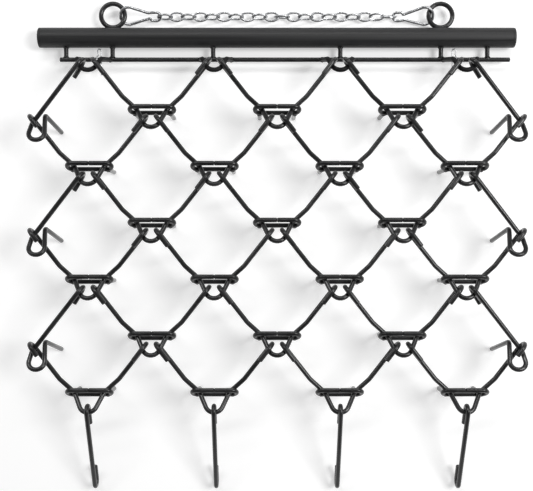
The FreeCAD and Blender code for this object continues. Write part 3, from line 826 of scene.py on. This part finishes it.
def addHairpins():
    lean = math.radians(hairpin["lean"])
    height = hairpin["ride"] / math.cos(lean)
    reach = hairpin["reach"]
    for side, label in ((-1, "left"), (1, "right")):
        out = Vector((side * math.sin(lean), 0, math.cos(lean)))
        hole = Vector((side * hairpin["place"], 0, tube["radius"]))
        ahead = Vector((0, 1, 0))
        head = ahead * (reach + height / 2)
        crest, dip = out * height, out * (height * hairpin["dipShare"])
        rod = ahead * bars["solidRadius"]
        corners = [hole - ahead * hairpin["leg"], hole + head, hole + head + crest,
                   hole + ahead * (reach / 2) + dip, hole + rod + crest, hole - rod + crest,
                   hole - ahead * (reach / 2) + dip, hole - ahead * (reach / 2 + hairpin["tip"]) + crest]
        bends = [height / 2, height / 2] + [hairpin["bend"]] * 4
        mesh = sweep([path(corners, bends)], zinc, hairpin["wire"], hairpin["sides"], hairpin["bendSteps"])
        addPiece(f"hairpin_{label}", [mesh], "drawbar", [f"hairpin_clip_{label}"])


addTube()
addPlugs()
addHanger()
addRings()
addHairpins()
print("drawbar made")


# Tow chain and snaps

chain = {"wire": 5.8, "solidWire": 6.0, "pitch": 30.8697, "spacing": 30.5197, "firstX": -288.11,
         "height": 13.5, "width": 21.2, "count": 10, "turn": 70, "middleTurn": 90, "twist": (110.0, 55.0),
         "steps": 28, "sides": 14}


def addChain(side, label):
    corners, rolls = [], []
    for number in range(chain["count"]):
        x = chain["firstX"] + chain["spacing"] * number
        corners.append(place(-side * x, ringY, chain["height"]))
        faceUp = number % 2 == (1 if side < 0 else 0)
        roll = 0 if faceUp else chain["turn" if number < chain["count"] - 1 else "middleTurn"]
        if side > 0 and number < len(chain["twist"]):
            roll = chain["twist"][number]
        rolls.append(math.radians(roll))
    mesh = bpy.data.meshes.new("chain points")
    mesh.from_pydata(corners, [], [])
    mesh.attributes.new("roll", "FLOAT", "POINT").data.foreach_set("value", rolls)
    values = {"Wire Diameter": chain["wire"] * mm, "Length": (chain["pitch"] + chain["solidWire"]) * mm,
              "Width": chain["width"] * mm, "Steps": chain["steps"], "Sides": chain["sides"], "Finish": zinc}
    links = linker.use(mesh, values)
    addPiece(f"chain_{label}_side", [links], f"tow_{label}", [f"chain_{label}"])


snap = {
    "wire": 7.8, "solidWire": 8.0, "sides": 18, "bendSteps": 8, "bow": 24.0, "eye": 11.5, "length": 110.0,
    "bendShare": 0.9, "neckHalf": 6.5, "backNeckHalf": 9.5, "neck": 19.0, "roll": 40.0, "play": 2.0,
    "noseBend": 4, "sideBend": 16, "neckBend": 14, "eyeStartBend": 7, "eyeEndBend": 6, "lugBend": 2,
    "tongue": 4.0, "tongueGap": 0.3, "tongueEdge": 0.6, "tongueSink": 1.0, "noseShare": 0.36,
}
gate = {"gap": 1.7, "sides": 24, "bendSteps": 2, "slotWidth": 16, "slotOverrun": 2, "pin": 3.0,
        "pinInset": 6.0, "pinChamfer": 0.4, "pinTipShare": 0.6, "pinSides": 20}


def snapFrame(side):
    slope = math.asin((tube["radius"] - chain["height"]) / (snap["length"] - snap["solidWire"]))
    roll = math.radians(snap["roll"])
    along = Vector((-side * math.cos(slope), 0, -math.sin(slope)))
    rise = Vector((0, 0, 1)) - along * along.z
    rise.normalize()
    across = (Vector((0, 1, 0)) * math.cos(roll) + rise * math.sin(roll)) * -side
    bow = ring["place"] - ring["hold"] + bars["solidRadius"] + snap["solidWire"] / 2 + snap["play"]
    return Vector((side * bow, ringY, tube["radius"])), along, across, along.cross(across)


def block(start, run, normal, length, width, thickness, finish, edge=0.0):
    # A box that runs on from the start, with its edges rounded if an edge is given
    across = normal.cross(run).normalized()
    shape = bmesh.new()
    made = bmesh.ops.create_cube(shape, size=1.0)
    size = Matrix.Diagonal((length, width, thickness, 1))
    turn = Matrix((run, across, normal)).transposed().to_4x4()
    middle = Matrix.Translation(start + run * (length / 2))
    bmesh.ops.transform(shape, matrix=middle @ turn @ size, verts=made["verts"])
    if edge:
        bmesh.ops.bevel(shape, geom=shape.edges[:], offset=edge, segments=2, affect="EDGES", profile=0.5)
    for corner in shape.verts:
        corner.co = place(*corner.co)
    mesh = bpy.data.meshes.new("block")
    shape.to_mesh(mesh)
    shape.free()
    mesh.materials.append(finish)
    return mesh


def cutAway(mesh, cutters):
    # The mesh without what the cutters cover
    target = bpy.data.objects.new("target", mesh)
    bpy.context.scene.collection.objects.link(target)
    helpers = []
    for cutter in cutters:
        helper = bpy.data.objects.new("cutter", cutter)
        bpy.context.scene.collection.objects.link(helper)
        modifier = target.modifiers.new("cut", "BOOLEAN")
        modifier.object = helper
        modifier.operation = "DIFFERENCE"
        modifier.solver = "EXACT"
        helpers.append(helper)
    bpy.context.view_layer.update()
    ready = target.evaluated_get(bpy.context.evaluated_depsgraph_get())
    made = bpy.data.meshes.new_from_object(ready)
    target.modifiers.clear()
    for helper in helpers + [target]:
        bpy.data.objects.remove(helper)
    return made


def addSnap(side, label):
    bow, along, across, normal = snapFrame(side)
    wide, eye = snap["bow"], snap["eye"]
    eyeCentre = snap["length"] - snap["solidWire"] - eye
    neck = eyeCentre - snap["neck"]
    nose = snap["noseShare"] * neck
    taper = (nose - wide) / (neck - wide)
    noseHalf = wide + (snap["neckHalf"] - wide) * taper

    def onSnap(forward, sideways):
        return bow + along * forward + across * sideways

    lugEnd, noseEnd = onSnap(neck, -snap["neckHalf"]), onSnap(nose, -noseHalf)
    run = (noseEnd - lugEnd).normalized()
    corners = [noseEnd, onSnap(wide, -wide), onSnap(0, -wide), onSnap(0, wide), onSnap(wide, wide),
               onSnap(neck, snap["backNeckHalf"]), onSnap(eyeCentre - eye, eye), onSnap(eyeCentre + eye, eye),
               onSnap(eyeCentre + eye, -eye), onSnap(eyeCentre - eye, -eye),
               lugEnd - run * (snap["solidWire"] / 2), lugEnd]
    bowBend, eyeBend = snap["bendShare"] * wide, snap["bendShare"] * eye
    bends = [snap["noseBend"], bowBend, bowBend, snap["sideBend"], snap["neckBend"], snap["eyeStartBend"],
             eyeBend, eyeBend, snap["eyeEndBend"], snap["lugBend"]]
    wire = sweep([path(corners, bends)], zinc, snap["wire"], snap["sides"], snap["bendSteps"])
    width = snap["solidWire"] * math.cos(math.pi / 6)  # across the flats of the solid's wire
    length = 2 * gate["pinInset"]
    sink = snap["tongueSink"]
    pieces = [wire]
    for end, inward in ((lugEnd, run), (noseEnd, -run)):
        pieces.append(block(end - inward * sink, inward, normal, length + sink, width, snap["tongue"], zinc,
                            snap["tongueEdge"]))
    addPiece(f"snap_{label}", pieces, f"tow_{label}", [f"snap_body_{label}"])

    start, end = lugEnd + run * gate["gap"], noseEnd - run * gate["gap"]
    arm = sweep([path([start, end], [])], zinc, snap["wire"], gate["sides"], gate["bendSteps"])
    opening = snap["tongue"] + 2 * snap["tongueGap"]
    over = gate["slotOverrun"]
    depth = length + snap["tongueGap"] + over
    slots = [block(start - run * over, run, normal, depth, gate["slotWidth"], opening, zinc),
             block(end + run * over, -run, normal, depth, gate["slotWidth"], opening, zinc)]
    addPiece(f"gate_{label}_arm", [cutAway(arm, slots)], f"gate_{label}", [f"snap_gate_{label}"])

    half, radius = snap["wire"] / 2, gate["pin"] / 2
    tip, shoulder = radius * gate["pinTipShare"], half - gate["pinChamfer"]
    profile = [(-half, tip), (-shoulder, radius), (shoulder, radius), (half, tip)]
    pin = lathe(profile, lugEnd + run * gate["pinInset"], normal, gate["pinSides"], zinc)
    addPiece(f"gate_{label}_pin", [pin], f"tow_{label}", [f"gate_pin_{label}"])


for side, label in ((-1, "left"), (1, "right")):
    addChain(side, label)
    addSnap(side, label)
print("chain and snaps made")


# Floor, world and lamps

studio = {"floorColour": (0.8, 0.8, 0.8, 1), "nearGlow": 0.4, "farGlow": 0.66, "glowReach": (1.3, 4.5),
          "wallRadius": 14.0, "wallHeight": 5.0, "wallBend": 2.0, "wallBendSteps": 8, "wallSides": 72,
          "centreHole": 1.0, "floorRoughness": 0.9, "worldStrength": 0.18,
          "keyPlace": (2.8, 0.6, 3.8), "keySize": (2.0, 2.0), "keyPower": 125,
          "stripPlace": (-0.7, 3.0, 3.3), "stripSize": (6.0, 0.5), "stripPower": 95}


def addFloor():
    # A round floor that curves up into a wall, so that every view has the same pale ground
    bend, radius, sides = studio["wallBend"], studio["wallRadius"], studio["wallSides"]
    profile = [(0.0, studio["centreHole"]), (0.0, radius - bend)]
    for step in range(1, studio["wallBendSteps"] + 1):
        angle = math.radians(90 * step / studio["wallBendSteps"])
        profile.append((bend - bend * math.cos(angle), radius - bend + bend * math.sin(angle)))
    profile.append((studio["wallHeight"], radius))
    corners, faces = [], [tuple(range(sides))]
    for height, reach in profile:
        for number in range(sides):
            angle = 2 * math.pi * number / sides
            corners.append((reach * math.cos(angle), reach * math.sin(angle), cadLow[2] + height))
    for band in range(len(profile) - 1):
        for number in range(sides):
            following = (number + 1) % sides
            faces.append((band * sides + number, (band + 1) * sides + number,
                          (band + 1) * sides + following, band * sides + following))
    mesh = bpy.data.meshes.new("floor")
    mesh.from_pydata(corners, [], faces)
    for face in mesh.polygons:
        face.use_smooth = True
    floor = bpy.data.objects.new("floor", mesh)
    bpy.context.scene.collection.objects.link(floor)
    finish = Finish("white floor")
    rays = addNode(finish.tree, "ShaderNodeLightPath")
    seen = Reading(finish.tree, rays.outputs["Is Camera Ray"])
    seen = seen + Reading(finish.tree, rays.outputs["Is Glossy Ray"])
    distance = finish.node("ShaderNodeVectorMath", {"operation": "LENGTH"}, {"Vector": finish.where}, "Value")
    far = finish.between(distance, *studio["glowReach"])
    glow = studio["nearGlow"] + far * (studio["farGlow"] - studio["nearGlow"])
    finish.set({"Base Color": studio["floorColour"], "Roughness": studio["floorRoughness"],
                "Specular IOR Level": 0.0, "Emission Color": (1, 1, 1, 1), "Emission Strength": seen * glow})
    mesh.materials.append(finish.material)


def addLamp(name, location, size, power):
    data = bpy.data.lights.new(name, "AREA")
    data.shape = "ELLIPSE" if size[0] == size[1] else "RECTANGLE"
    data.size, data.size_y = size
    data.energy = power
    lamp = bpy.data.objects.new(name, data)
    lamp.location = location
    lamp.rotation_euler = (-Vector(location)).to_track_quat("-Z", "Y").to_euler()
    bpy.context.scene.collection.objects.link(lamp)


addFloor()
addLamp("key", studio["keyPlace"], studio["keySize"], studio["keyPower"])
addLamp("strip", studio["stripPlace"], studio["stripSize"], studio["stripPower"])
world = bpy.data.worlds.new("studio")
world.use_nodes = True
sky = world.node_tree.nodes["Background"]
sky.inputs["Color"].default_value = (1, 1, 1, 1)
sky.inputs["Strength"].default_value = studio["worldStrength"]
bpy.context.scene.world = world
bpy.context.scene.view_settings.view_transform = "Standard"
print("floor and lamps made")
